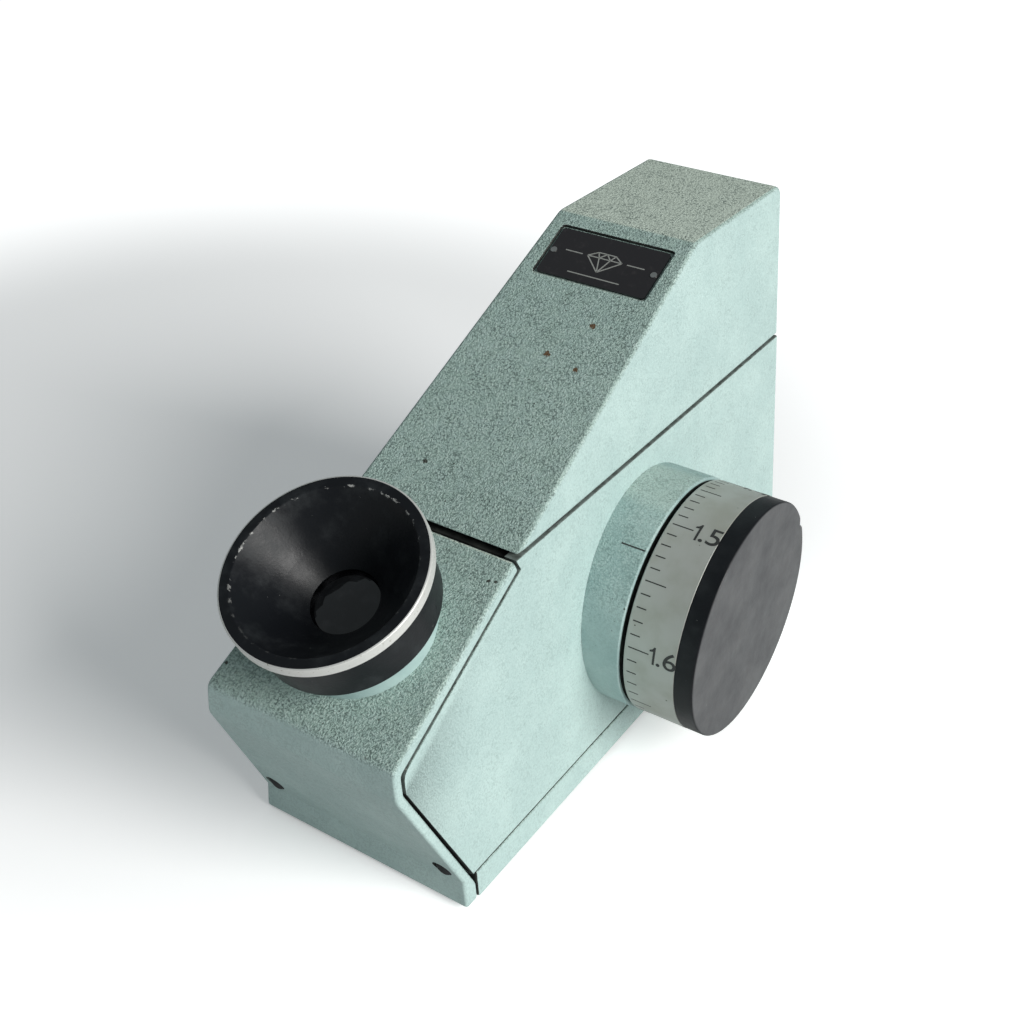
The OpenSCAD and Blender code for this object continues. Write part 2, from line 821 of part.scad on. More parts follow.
// Torsion spring round the pivot's shoulder, with a leg along each of its two neighbours
module return_spring() {
    coil_r = 3.7;
    wire_r = 0.35;
    turns = 3;
    sides = 8;
    steps = 16 * turns;
    pitch = 0.95;
    start = 14.2;
    rings = [
        for (i = [0:steps]) let (a = 360 * turns * i / steps)
            [for (k = [0:sides - 1]) let (b = 360 * k / sides, r = coil_r + wire_r * cos(b))
                [start + pitch * turns * i / steps + wire_r * sin(b), r * cos(a), r * sin(a)]]
    ];
    color(steel) at_case() translate([0, lever_pivot_at[0], lever_pivot_at[1]]) {
        polyhedron(
            points = [for (ring = rings) each ring],
            faces = concat(
                [[for (k = [sides - 1:-1:0]) k]],
                [
                    for (i = [0:steps - 1], k = [0:sides - 1])
                        let (n = (k + 1) % sides, a = i * sides, b = a + sides)
                        [a + k, a + n, b + n, b + k]
                ],
                [[for (k = [0:sides - 1]) steps * sides + k]]
            )
        );
        translate([start, coil_r, -9]) cylinder(r = wire_r, h = 9, $fn = 16);
        translate([start + pitch * turns, coil_r, 0]) cylinder(r = wire_r, h = 10, $fn = 16);
    }
}

// ---------------------------------------------------------------- optics

module at_mirror() {
    translate([0, mirror_at[0], mirror_at[1]]) rotate([-mirror_tilt, 0, 0]) children();
}

module fold_mirror() {
    color(optical) at_case() at_mirror() translate([-8, -10, -2]) cube([16, 20, 2]);
}

module mirror_bracket() {
    color(dark_metal) at_case() difference() {
        translate([-7, 10, floor_t]) cube([14, 14, 40]);
        at_mirror() translate([-cut / 2, -cut / 2, -2]) cube([cut, cut, 60]);
        translate([-10, 13, floor_t + 3]) cube([20, 8, 12]);
    }
}

module at_objective() {
    translate([0, objective_at[0], objective_at[1]]) rotate([-objective_tilt, 0, 0]) children();
}

module objective_lens() {
    color(optical) at_case() at_objective() translate([0, 0, -1.4]) lens(7, 1.6, 1.2);
}

module objective_holder() {
    color(dark_metal) at_case() difference() {
        union() {
            at_objective() translate([0, 0, -2.5]) cylinder(r = 9, h = 5);
            translate([-3, 52, objective_at[1]]) cube([6, 7, deck_z - objective_at[1]]);
        }
        at_objective() translate([0, 0, -20]) cylinder(r = 7, h = 40);
    }
}

module eyepiece_boss() {
    top = 8;
    color(paint) at_case() on_slope(eye_s) rotate_extrude()
        polygon([
            [tube_r + 0.06, -6], [13, -6], [13, 0], [boss_r, 0], [boss_r, top - 0.6],
            [boss_r - 0.6, top], [tube_r + 0.06, top]
        ]);
}

module boss_nut() {
    color(dark_metal) at_case() on_slope(eye_s) translate([0, 0, -panel_t - 2.6]) difference() {
        cylinder(r = 15.4, h = 2.6);
        translate([0, 0, -1]) cylinder(r = 13, h = 5);
        for (a = [0, 90]) rotate(a) translate([-20, -1, -1]) cube([40, 2, 1.9]);
    }
}

module eyecup() {
    rim_h = 2.4;
    skirt = [14.8, 7];
    color(dark_metal) at_case() on_slope(eye_s) rotate_extrude($fn = 128)
        polygon([
            [skirt[0], skirt[1]], [sleeve_r, skirt[1]], [sleeve_r, cup_h - rim_h - 0.6],
            [cup_r, cup_h - rim_h], [cup_r, cup_h], [cone_r(cup_h), cup_h],
            [cone_r(seat_h), seat_h], [skirt[0], seat_h]
        ]);
}

module eyepiece_tube() {
    color(dark_metal) at_case() on_slope(eye_s) translate([0, 0, -7]) tube(tube_r, tube_in, seat_h + 7);
}

module lens_retainer() {
    color(dark_metal) at_case() on_slope(eye_s) rotate_extrude()
        polygon([
            [throat[0], throat[1]], [tube_in, throat[1]], [tube_in, seat_h], [cone_r(seat_h), seat_h]
        ]);
}

module eye_lens() {
    color(optical) at_case() on_slope(eye_s) translate([0, 0, 5]) lens(tube_in, 1.9, 2.1);
}

module lens_spacer() {
    color(dark_metal) at_case() on_slope(eye_s) translate([0, 0, 0.5]) tube(tube_in, 10, 4.5);
}

module field_lens() {
    color(optical) at_case() on_slope(eye_s) translate([0, 0, 0.5]) mirror([0, 0, 1]) lens(tube_in, 1.4, 2.2);
}

module tube_end_ring() {
    color(dark_metal) at_case() on_slope(eye_s) translate([0, 0, -4.5]) tube(tube_in, 9.6, 2.9);
}

base_plate();
base_pad();
front_cover();
side_panel_right();
side_panel_left();
rear_panel();
window_frame();
light_filter();
stage_deck();
contact_plate();
table_prism();
prism_cradle();
deck_pillars();
deck_screws();
front_screws();
base_screws();
rear_screws();
lid_shell();
name_plate();
plate_pins();
lid_buffers();
hinge_leaf_case();
hinge_leaf_lid();
hinge_pin();
hinge_screws_case();
hinge_screws_lid();
dial_barrel();
barrel_screws();
shaft_bush_outer();
shaft_bush_inner();
bearing_bracket();
friction_washer();
dial_shaft();
shaft_clip();
dial_drum();
drum_screw();
dial_cap();
index_cam();
cam_screw();
follower_lever();
follower_pin();
lever_pivot();
lever_bracket();
shadow_blade();
return_spring();
fold_mirror();
mirror_bracket();
objective_lens();
objective_holder();
eyepiece_boss();
boss_nut();
eyecup();
eyepiece_tube();
eye_lens();
lens_retainer();
lens_spacer();
field_lens();
tube_end_ring();
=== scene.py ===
# A dial-reading gem refractometer in worn pale-green enamel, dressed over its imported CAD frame.
# Lengths named in this file are in millimetres and become metres through MM.
import json
from math import asin, cos, degrees, pi, radians, sin, tan

import bmesh
import bpy
from mathutils import Matrix, Vector
from mathutils.bvhtree import BVHTree


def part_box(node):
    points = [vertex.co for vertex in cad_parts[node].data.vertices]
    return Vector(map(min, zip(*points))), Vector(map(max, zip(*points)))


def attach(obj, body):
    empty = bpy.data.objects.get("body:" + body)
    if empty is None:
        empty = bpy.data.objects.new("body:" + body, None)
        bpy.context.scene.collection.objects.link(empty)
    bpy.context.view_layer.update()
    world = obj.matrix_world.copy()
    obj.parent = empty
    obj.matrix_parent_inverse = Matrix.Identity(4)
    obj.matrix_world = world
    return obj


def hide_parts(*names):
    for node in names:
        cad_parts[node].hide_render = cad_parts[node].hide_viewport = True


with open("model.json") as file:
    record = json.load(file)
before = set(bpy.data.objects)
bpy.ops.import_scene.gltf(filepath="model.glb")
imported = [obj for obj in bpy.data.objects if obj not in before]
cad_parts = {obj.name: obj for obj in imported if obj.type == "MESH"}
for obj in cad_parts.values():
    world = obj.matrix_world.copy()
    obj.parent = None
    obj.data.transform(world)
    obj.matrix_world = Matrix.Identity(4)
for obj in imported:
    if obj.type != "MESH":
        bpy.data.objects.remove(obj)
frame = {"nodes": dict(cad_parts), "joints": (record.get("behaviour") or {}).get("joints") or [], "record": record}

MM = 0.001
NODES = frame["nodes"]
MOUNTS = {m["name"]: m for m in frame["record"]["mounts"]}
JOINTS = {j["name"]: j for j in frame["joints"]}
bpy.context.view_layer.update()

# ---------------------------------------------------------------- places, from the frame

X_AXIS = Vector((1, 0, 0))
BASE_LOW, BASE_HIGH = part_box("base_plate")
LID_LOW, LID_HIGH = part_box("lid_shell")
COVER_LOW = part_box("front_cover")[0]
SIDE_SLOPE = (BASE_HIGH.x - LID_HIGH.x) / (LID_LOW.z - BASE_LOW.z)

EYE_OUT = Vector(MOUNTS["eyecup_rim"]["axis"]).normalized()
EYE_UP = EYE_OUT.cross(X_AXIS).normalized()
CUP_LOW_H = 7
RIM_MID_H = 18.8
PANEL_POINT = Vector(MOUNTS["eyecup_rim"]["pos_m"]) - EYE_OUT * RIM_MID_H * MM

DIAL_AXIS = Vector(JOINTS["dial_turn"]["pos_m"])
DRUM_LOW, DRUM_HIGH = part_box("dial_drum")
BARREL_LOW, BARREL_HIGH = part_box("dial_barrel")
CAP_LOW, CAP_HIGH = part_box("dial_cap")
DRUM_R = (DRUM_HIGH.y - DRUM_LOW.y) / 2 / MM
BARREL_R = (BARREL_HIGH.y - BARREL_LOW.y) / 2 / MM
CAP_R = (CAP_HIGH.y - CAP_LOW.y) / 2 / MM
BARREL_END = BARREL_HIGH.x / MM
DRUM_START = BARREL_END + 1
DRUM_END = DRUM_HIGH.x / MM
CAP_END = CAP_HIGH.x / MM


def half_width(z):
    """Half the case's width at height z, both in metres."""
    return BASE_HIGH.x - (z - BASE_LOW.z) * SIDE_SLOPE


def on_eye_axis():
    """Local z stands off the panel on the eyepiece's axis, y runs up the slope."""
    turn = Matrix((X_AXIS, EYE_UP, EYE_OUT)).transposed().to_4x4()
    return Matrix.Translation(PANEL_POINT) @ turn


def on_dial_axis():
    """Local z is +X from the centre plane, x points to the front and y points up."""
    front, up = Vector((0, -1, 0)), Vector((0, 0, 1))
    turn = Matrix((front, up, X_AXIS)).transposed().to_4x4()
    return Matrix.Translation((0, DIAL_AXIS.y, DIAL_AXIS.z)) @ turn


# ---------------------------------------------------------------- node trees


class Finish:
    """A material built from short calls. Sizes of patterns are in millimetres on the object."""

    def __init__(self, name, color=None, rough=None, metal=0.0, **sockets):
        self.material = bpy.data.materials.new(name)
        self.material.use_nodes = True
        self.tree = self.material.node_tree
        self.shader = self.tree.nodes["Principled BSDF"]
        self.coords = self.tree.nodes.new("ShaderNodeTexCoord")
        self.place = self.coords.outputs["Object"]
        self.normal = self.coords.outputs["Normal"]
        self.set("Metallic", metal)
        if color is not None:
            self.set("Base Color", color)
        if rough is not None:
            self.set("Roughness", rough)
        for socket, value in sockets.items():
            self.set(socket.replace("_", " "), value)

    def put(self, socket, value):
        if isinstance(value, bpy.types.NodeSocket):
            self.tree.links.new(value, socket)
        elif isinstance(value, (tuple, list)) and len(value) == 3 and socket.type == "RGBA":
            socket.default_value = (*value, 1)
        else:
            socket.default_value = value

    def set(self, socket, value):
        self.put(self.shader.inputs[socket], value)

    def node(self, kind, inputs=(), **settings):
        made = self.tree.nodes.new(kind)
        for key, value in settings.items():
            setattr(made, key, value)
        for key, value in dict(inputs).items():
            self.put(made.inputs[key], value)
        return made

    def noise(self, size, detail=2.0, rough=0.5, where=None):
        inputs = {
            "Vector": where or self.place,
            "Scale": 1 / (size * MM),
            "Detail": detail,
            "Roughness": rough,
        }
        return self.node("ShaderNodeTexNoise", inputs).outputs["Fac"]

    def cells(self, size):
        inputs = {"Vector": self.place, "Scale": 1 / (size * MM)}
        return self.node("ShaderNodeTexVoronoi", inputs).outputs["Distance"]

    def math(self, operation, a, b=0.0):
        made = self.node("ShaderNodeMath", operation=operation)
        self.put(made.inputs[0], a)
        self.put(made.inputs[1], b)
        return made.outputs[0]

    def smooth(self, value, low, high, to_low=0.0, to_high=1.0):
        inputs = {"Value": value, "From Min": low, "From Max": high, "To Min": to_low, "To Max": to_high}
        return self.node("ShaderNodeMapRange", inputs, interpolation_type="SMOOTHSTEP").outputs[0]

    def mix(self, share, a, b):
        made = self.node("ShaderNodeMix", data_type="RGBA")
        self.put(made.inputs["Factor"], share)
        self.put(made.inputs[6], a)
        self.put(made.inputs[7], b)
        return made.outputs[2]

    def split(self, vector):
        return self.node("ShaderNodeSeparateXYZ", {"Vector": vector}).outputs

    def stretched(self, sx, sy, sz):
        return self.node("ShaderNodeMapping", {"Vector": self.place, "Scale": (sx, sy, sz)}).outputs[0]

    def distance_to(self, point):
        inputs = {0: self.place, 1: tuple(point)}
        return self.node("ShaderNodeVectorMath", inputs, operation="DISTANCE").outputs["Value"]

    def bump(self, height, depth):
        inputs = {"Height": height, "Distance": depth * MM, "Strength": 1.0}
        self.set("Normal", self.node("ShaderNodeBump", inputs).outputs[0])


# ---------------------------------------------------------------- materials

AQUA = (0.42, 0.56, 0.54)
AQUA_LIGHT = (0.47, 0.615, 0.59)
AQUA_SHADED = (0.31, 0.45, 0.44)
DUST = (0.34, 0.48, 0.40)
# Dust on the flat top, with painted light there too.
TOP_DUST_AND_LIGHT = (0.68, 0.77, 0.66)
GRIME = (0.055, 0.062, 0.05)
RUST = (0.13, 0.075, 0.035)


def spot(finish, color, point, radius, stain, ragged):
    """Mixes a ragged stain of about radius into color, round a point in metres."""
    far = finish.distance_to(point)
    edge = finish.math("ADD", far, finish.math("MULTIPLY", ragged, 3.2 * radius * MM))
    share = finish.smooth(edge, radius * 1.1 * MM, radius * 0.85 * MM)
    return finish.mix(share, color, stain)


def enamel(name, grain=1.0, marks=(), dusty=1.0, specks=1.0, pale=AQUA_LIGHT, deep=AQUA):
    """Pale crackle enamel: a fine pebbled grain where it faces up, smoother on the sides, with dust on
    what faces up, dark pits and a few stains. The grain's hollows carry painted shade with grime, its
    crests a painted highlight, and the flat top is paler from dust and from painted light."""
    f = Finish(name)
    pebble = f.cells(0.62)
    wrinkle = f.noise(0.33, detail=2, rough=0.6)
    patches = f.noise(14, detail=4, rough=0.6)
    fine = f.noise(2.4, detail=3, rough=0.6)
    up = f.split(f.normal)[2]
    grain_here = f.smooth(up, 0.1, 0.6, 0.28 * grain, grain)
    color = f.mix(f.smooth(patches, 0.35, 0.7), deep, pale)
    settled = f.math("MULTIPLY", f.smooth(up, 0.2, 0.85), f.smooth(fine, 0.2, 0.75, 0.5, 1.0))
    color = f.mix(f.math("MULTIPLY", settled, 0.6 * dusty), color, DUST)
    # The flat top turns paler: dust, and painted light on the faces that look straight up.
    color = f.mix(f.smooth(up, 0.93, 0.985, 0, 0.9 * dusty), color, TOP_DUST_AND_LIGHT)
    height = f.math("SUBTRACT", wrinkle, f.math("MULTIPLY", pebble, 0.32))
    # Painted shade with grime: the grain's low points are darkened, more where the faces look up.
    low_points = f.smooth(height, 0.37, 0.2)
    valley_shade_and_grime = f.math("MULTIPLY", low_points, f.smooth(f.noise(4, detail=3), 0.3, 0.66, 0.35, 0.8))
    color = f.mix(f.math("MULTIPLY", valley_shade_and_grime, grain_here), color, (0.12, 0.165, 0.15))
    # Painted highlight: the grain's crests are lightened, more where the faces look up.
    crest_highlight = f.math("MULTIPLY", f.smooth(height, 0.38, 0.52), 0.4)
    color = f.mix(f.math("MULTIPLY", crest_highlight, grain_here), color, (0.66, 0.76, 0.71))
    pit = f.smooth(f.cells(1.9), 0.13, 0.07)
    pit = f.math("MULTIPLY", pit, f.smooth(f.noise(8, detail=2), 0.52, 0.62))
    pit = f.math("MULTIPLY", pit, f.smooth(up, 0, 0.5, 0.25, 1))
    color = f.mix(f.math("MULTIPLY", pit, 0.85 * specks), color, GRIME)
    ragged = f.math("SUBTRACT", f.noise(0.7, detail=4, rough=0.75), 0.5)
    for point, radius, stain in marks:
        color = spot(f, color, point, radius, stain, ragged)
    f.set("Base Color", color)
    f.set("Roughness", f.smooth(fine, 0.3, 0.7, 0.42, 0.6))
    f.bump(f.math("MULTIPLY", height, grain_here), 0.3)
    return f.material


def groove_shade_paint():
    """Dark enamel on the faces that line the grooves between the panels: painted shade, mottled by noise."""
    f = Finish("enamel_groove_shade", rough=0.7)
    dirt = f.smooth(f.noise(1.5, detail=4), 0.35, 0.75)
    f.set("Base Color", f.mix(dirt, (0.17, 0.21, 0.195), (0.07, 0.085, 0.075)))
    f.bump(f.noise(0.5, detail=3), 0.04)
    return f.material


def black_coat(name, dust=0.1, rough=0.34):
    """Satin black on turned metal, with a faint turned grain, thin dust and small bright nicks."""
    f = Finish(name, Specular_IOR_Level=0.27)
    coat, dust_color = (0.006, 0.007, 0.009), (0.12, 0.135, 0.14)
    film = f.noise(6, detail=5, rough=0.65)
    base = f.mix(f.math("MULTIPLY", f.smooth(film, 0.45, 0.8), dust), coat, dust_color)
    nick = f.smooth(f.noise(0.9, detail=4, rough=0.7), 0.73, 0.76)
    f.set("Base Color", f.mix(nick, base, (0.55, 0.55, 0.53)))
    f.set("Roughness", f.smooth(film, 0.3, 0.8, rough, rough + 0.2))
    f.bump(f.noise(0.5, detail=3), 0.02)
    return f


def inner_paint_and_shade():
    """Matt black paint on the insides, with settled dirt; where faces look at other parts and in the gaps it is
    also painted shade.
    """
    f = Finish("inner_matt_and_shade", rough=0.85)
    dirt = f.smooth(f.noise(2.5, detail=4), 0.35, 0.8)
    f.set("Base Color", f.mix(dirt, (0.012, 0.014, 0.013), (0.05, 0.055, 0.048)))
    f.bump(f.noise(0.6, detail=3), 0.05)
    return f.material


def metal(name, color, rough=0.32, scratch=1.0):
    """Bare machined metal with fine scratches and slight tarnish."""
    f = Finish(name, metal=1.0)
    lines = f.noise(0.5, detail=3, where=f.stretched(1, 0.12, 1))
    tarnish = f.smooth(f.noise(4, detail=4), 0.35, 0.75)
    darker = tuple(c * 0.62 for c in color)
    f.set("Base Color", f.mix(tarnish, color, darker))
    f.set("Roughness", f.smooth(tarnish, 0, 1, rough, rough + 0.22))
    f.bump(lines, 0.012 * scratch)
    return f.material


def bare_band():
    """The bare bright band round the cup's rim, brushed, with specks of dirt."""
    f = Finish("bare_band", metal=0.5, rough=0.42)
    dirt = f.smooth(f.noise(0.9, detail=4, rough=0.7), 0.62, 0.7)
    f.set("Base Color", f.mix(dirt, (0.78, 0.78, 0.75), (0.42, 0.4, 0.33)))
    f.bump(f.noise(0.3, detail=2), 0.01)
    return f.material


def rubber():
    """Black rubber with a little pale dust."""
    f = Finish("rubber_black", rough=0.8)
    dust = f.smooth(f.noise(3, detail=4), 0.3, 0.8)
    f.set("Base Color", f.mix(dust, (0.02, 0.02, 0.021), (0.05, 0.05, 0.048)))
    f.bump(f.noise(0.3, detail=2), 0.05)
    return f.material


def glass(name, tint, rough=0.02, ior=1.6):
    f = Finish(name, rough=rough, color=tint, Transmission_Weight=1.0, IOR=ior)
    f.bump(f.noise(5, detail=2), 0.002)
    return f.material


def mirror_glass():
    f = Finish("mirror_silver", metal=1.0)
    haze = f.smooth(f.noise(6, detail=4), 0.4, 0.8)
    f.set("Base Color", f.mix(haze, (0.86, 0.88, 0.88), (0.7, 0.72, 0.72)))
    f.set("Roughness", f.smooth(haze, 0, 1, 0.03, 0.09))
    return f.material


def lens_front():
    """The eye lens's face, painted near black as the shade of the unlit tube behind it, under a glossy coat."""
    f = Finish("lens_dark_as_shade", rough=0.04, Coat_Weight=0.6, Coat_Roughness=0.03)
    haze = f.smooth(f.noise(2.5, detail=4), 0.45, 0.8)
    f.set("Base Color", f.mix(haze, (0.004, 0.004, 0.005), (0.02, 0.02, 0.022)))
    return f.material


def drum_silver():
    """Satin silver drum: turned rings along X, and a slow yellowish age."""
    f = Finish("drum_satin", metal=0.35)
    rings = f.noise(0.25, detail=2, where=f.stretched(1, 0.01, 0.01))
    age = f.smooth(f.noise(7, detail=4), 0.35, 0.75)
    color = f.mix(age, (0.47, 0.48, 0.45), (0.40, 0.405, 0.36))
    dark = f.smooth(f.cells(3.4), 0.07, 0.045)
    dark = f.math("MULTIPLY", dark, f.smooth(f.noise(8), 0.5, 0.56))
    f.set("Base Color", f.mix(dark, color, (0.12, 0.12, 0.1)))
    f.set("Roughness", f.smooth(age, 0, 1, 0.42, 0.52))
    f.bump(rings, 0.006)
    return f.material


def print_ink():
    f = Finish("scale_ink", rough=0.5)
    f.set("Base Color", f.mix(f.noise(0.4, detail=3), (0.012, 0.012, 0.012), (0.05, 0.05, 0.048)))
    return f.material


def print_silver():
    f = Finish("plate_lines", metal=0.6, rough=0.4)
    f.set("Base Color", f.mix(f.noise(0.5, detail=3), (0.62, 0.62, 0.58), (0.45, 0.45, 0.42)))
    return f.material


def plate_enamel():
    f = Finish("plate_gloss", Coat_Weight=0.3, Coat_Roughness=0.15)
    wear = f.smooth(f.noise(2, detail=5, rough=0.7), 0.55, 0.8)
    f.set("Base Color", f.mix(wear, (0.014, 0.012, 0.014), (0.035, 0.03, 0.032)))
    f.set("Roughness", f.smooth(wear, 0, 1, 0.3, 0.5))
    f.bump(f.noise(0.6, detail=3), 0.01)
    return f.material


def cap_faces():
    """The dial's cap: near-black satin on its side and a painted grey sheen on its outer face, with scuffs."""
    f = black_coat("cap_satin", dust=0.08, rough=0.36)
    # Painted sheen: the face that looks along +X is coloured grey for the light it reflects, with real scuffs and
    # specks on it.
    outward = f.smooth(f.split(f.normal)[0], 0.6, 0.95)
    film = f.noise(9, detail=4, rough=0.55)
    scuff = f.noise(2.2, detail=5, rough=0.7, where=f.stretched(1, 1, 0.5))
    speck = f.smooth(f.noise(0.6, detail=3, rough=0.7), 0.66, 0.74)
    sheen_and_scuffs = f.mix(f.smooth(film, 0.3, 0.72), (0.068, 0.07, 0.074), (0.098, 0.1, 0.103))
    sheen_and_scuffs = f.mix(f.smooth(scuff, 0.66, 0.76, 0, 0.8), sheen_and_scuffs, (0.24, 0.24, 0.24))
    sheen_and_scuffs = f.mix(f.math("MULTIPLY", speck, 0.35), sheen_and_scuffs, (0.02, 0.02, 0.022))
    side = f.shader.inputs["Base Color"].links[0].from_socket
    f.set("Base Color", f.mix(outward, side, sheen_and_scuffs))
    return f.material


def cup_coat():
    """Black cup: a dusty cone inside and nicked edges; the bare band round its rim is a piece of its own."""
    f = black_coat("cup_satin", dust=0.16, rough=0.3)
    mouth_r = 16.9
    inverse = on_eye_axis().inverted()
    local = f.node("ShaderNodeMapping", {"Vector": f.place}, vector_type="POINT")
    local.inputs["Location"].default_value = inverse.to_translation()
    local.inputs["Rotation"].default_value = inverse.to_euler()
    x, y, z = f.split(local.outputs[0])
    radius = f.math("SQRT", f.math("ADD", f.math("MULTIPLY", x, x), f.math("MULTIPLY", y, y)))
    ragged = f.math("MULTIPLY", f.math("SUBTRACT", f.noise(0.5, detail=5, rough=0.8), 0.5), 1.6 * MM)
    lip = f.math("ABSOLUTE", f.math("SUBTRACT", f.math("ADD", radius, ragged), mouth_r * MM))
    high = f.smooth(z, 18.6 * MM, 19.4 * MM)
    worn = f.smooth(f.noise(1.3, detail=4), 0.55, 0.62)
    chips = f.math("MULTIPLY", f.smooth(lip, 0.2 * MM, 0.07 * MM), worn)
    far_left = f.smooth(f.math("SUBTRACT", y, x), -8 * MM, 16 * MM, 0.1, 1.0)
    chips = f.math("MULTIPLY", f.math("MULTIPLY", chips, high), far_left)
    base = f.shader.inputs["Base Color"].links[0].from_socket
    f.set("Base Color", f.mix(f.math("MULTIPLY", chips, 0.8), base, (0.5, 0.5, 0.48)))
    return f.material


def make_finishes():
    """Every material by name."""
    eyepiece_s = 21.4
    nose = PANEL_POINT - EYE_UP * eyepiece_s * MM

    def on_lid(x, s):
        return nose + EYE_UP * s * MM + X_AXIS * x * MM

    lid_marks = [
        (on_lid(1.0, 87.6), 0.75, RUST),
        (on_lid(6.4, 96.8), 0.65, RUST),
        (on_lid(8.5, 86.0), 0.55, RUST),
        (on_lid(-8.7, 56.6), 0.5, GRIME),
    ]
    cover_marks = [
        (on_lid(18.3, 38.8), 0.28, GRIME),
        (on_lid(16.9, 38.5), 0.28, GRIME),
        (on_lid(-20.0, 5.0), 0.35, GRIME),
    ]
    return {
        "enamel_lid": enamel("enamel_lid", marks=lid_marks),
        "enamel_cover": enamel("enamel_cover", marks=cover_marks),
        "enamel_case": enamel("enamel_case"),
        "enamel_barrel": enamel(
            "enamel_barrel", grain=0.6, dusty=0.3, specks=1.15, pale=AQUA, deep=AQUA_SHADED
        ),
        "enamel_boss": enamel(
            "enamel_boss", grain=0.06, dusty=0.1, specks=0.0, pale=AQUA, deep=AQUA_SHADED
        ),
        "groove_shade": groove_shade_paint(),
        "inside": inner_paint_and_shade(),
        "cup": cup_coat(),
        "black": black_coat("anodised_black").material,
        "cap": cap_faces(),
        "band": bare_band(),
        "drum": drum_silver(),
        "ink": print_ink(),
        "lines": print_silver(),
        "plate": plate_enamel(),
        "steel": metal("steel_plated", (0.62, 0.62, 0.6)),
        "dark_steel": metal("steel_blackened", (0.06, 0.06, 0.062), rough=0.42),
        "brass": metal("brass_turned", (0.72, 0.52, 0.22), rough=0.3),
        "rubber": rubber(),
        "glass": glass("optical_clear", (0.93, 0.97, 0.97)),
        "lens": lens_front(),
        "amber": glass("filter_amber", (0.9, 0.5, 0.06), rough=0.15, ior=1.5),
        "mirror": mirror_glass(),
    }


# ---------------------------------------------------------------- mesh helpers


def piece(name, bm, body, material, replaces=()):
    """A new mesh object from bm that rides on a body and takes its finish from a slot."""
    mesh = bpy.data.meshes.new(name)
    bm.to_mesh(mesh)
    bm.free()
    mesh.shade_smooth()
    made = bpy.data.objects.new(name, mesh)
    bpy.context.scene.collection.objects.link(made)
    mesh.materials.append(material)
    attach(made, body)
    if replaces:
        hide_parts(*replaces)
    return made


def weigh_normals(made):
    """Keeps the broad faces flat, so that only the rounded edges shade as curves."""
    modifier = made.modifiers.new("weighted", "WEIGHTED_NORMAL")
    modifier.weight = 80
    modifier.keep_sharp = True


def rounded_outline(points, closed):
    """An outline of (radius, height, fillet) points with each fillet as an arc."""
    n = len(points)
    out = []
    for i, (r, h, fillet) in enumerate(points):
        here = Vector((r, h))
        inner = closed or 0 < i < n - 1
        if fillet == 0 or not inner:
            out.append(here)
            continue
        before = Vector(points[i - 1][:2])
        after = Vector(points[(i + 1) % n][:2])
        u, v = (before - here).normalized(), (after - here).normalized()
        opening = u.angle(v)
        reach = min(fillet / tan(opening / 2), (before - here).length / 2, (after - here).length / 2)
        centre = here + (u + v).normalized() * (reach / cos(opening / 2))
        start, end = here + u * reach - centre, here + v * reach - centre
        turn = start.angle_signed(end)
        steps = 4
        for k in range(steps + 1):
            a = -turn * k / steps
            turned = (start.x * cos(a) - start.y * sin(a), start.x * sin(a) + start.y * cos(a))
            out.append(centre + Vector(turned))
    return out


def lathe(points, place, closed=True, turns=192, warp=None):
    """Revolves an outline in millimetres about the local z of place. warp(r, h, angle) may move a point."""
    outline = rounded_outline(points, closed)
    bm = bmesh.new()
    rings = []
    for p in outline:
        if p.x < 1e-6:
            rings.append([bm.verts.new(place @ Vector((0, 0, p.y * MM)))])
            continue
        ring = []
        for k in range(turns):
            a = 2 * pi * k / turns
            r, h = warp(p.x, p.y, a) if warp else (p.x, p.y)
            ring.append(bm.verts.new(place @ Vector((r * cos(a) * MM, r * sin(a) * MM, h * MM))))
        rings.append(ring)
    pairs = list(zip(rings, rings[1:] + rings[:1])) if closed else list(zip(rings, rings[1:]))
    for low, high in pairs:
        for k in range(turns):
            n = (k + 1) % turns
            if len(low) == 1:
                bm.faces.new((low[0], high[n], high[k]))
            elif len(high) == 1:
                bm.faces.new((low[k], low[n], high[0]))
            else:
                bm.faces.new((low[k], low[n], high[n], high[k]))
    bmesh.ops.recalc_face_normals(bm, faces=bm.faces)
    crease = radians(32)
    for edge in bm.edges:
        edge.smooth = edge.calc_face_angle(0) < crease
    return bm


def skin_depth(point):
    """How far a point in metres lies under the case's leaning sides."""
    return half_width(point.z) - abs(point.x)


def on_outer_plane(a, b, near):
    """True if the edge a-b lies on the slope, the top, the back, the front or the underside."""
    tests = (
        lambda p: (p - PANEL_POINT).dot(EYE_OUT),
        lambda p: p.z - LID_HIGH.z,
        lambda p: p.y - BASE_HIGH.y,
        lambda p: p.y - COVER_LOW.y,
        lambda p: p.z - BASE_LOW.z,
    )
    return any(abs(test(a)) < near and abs(test(b)) < near for test in tests)


def shell_tree():
    """All the case's shells as one surface, to tell their outer faces from their inner ones."""
    verts, faces = [], []
    for node in SHELLS:
        mesh = NODES[node].data
        first = len(verts)
        verts.extend(v.co.copy() for v in mesh.vertices)
        faces.extend([first + i for i in face.vertices] for face in mesh.polygons)
    return BVHTree.FromPolygons(verts, faces)


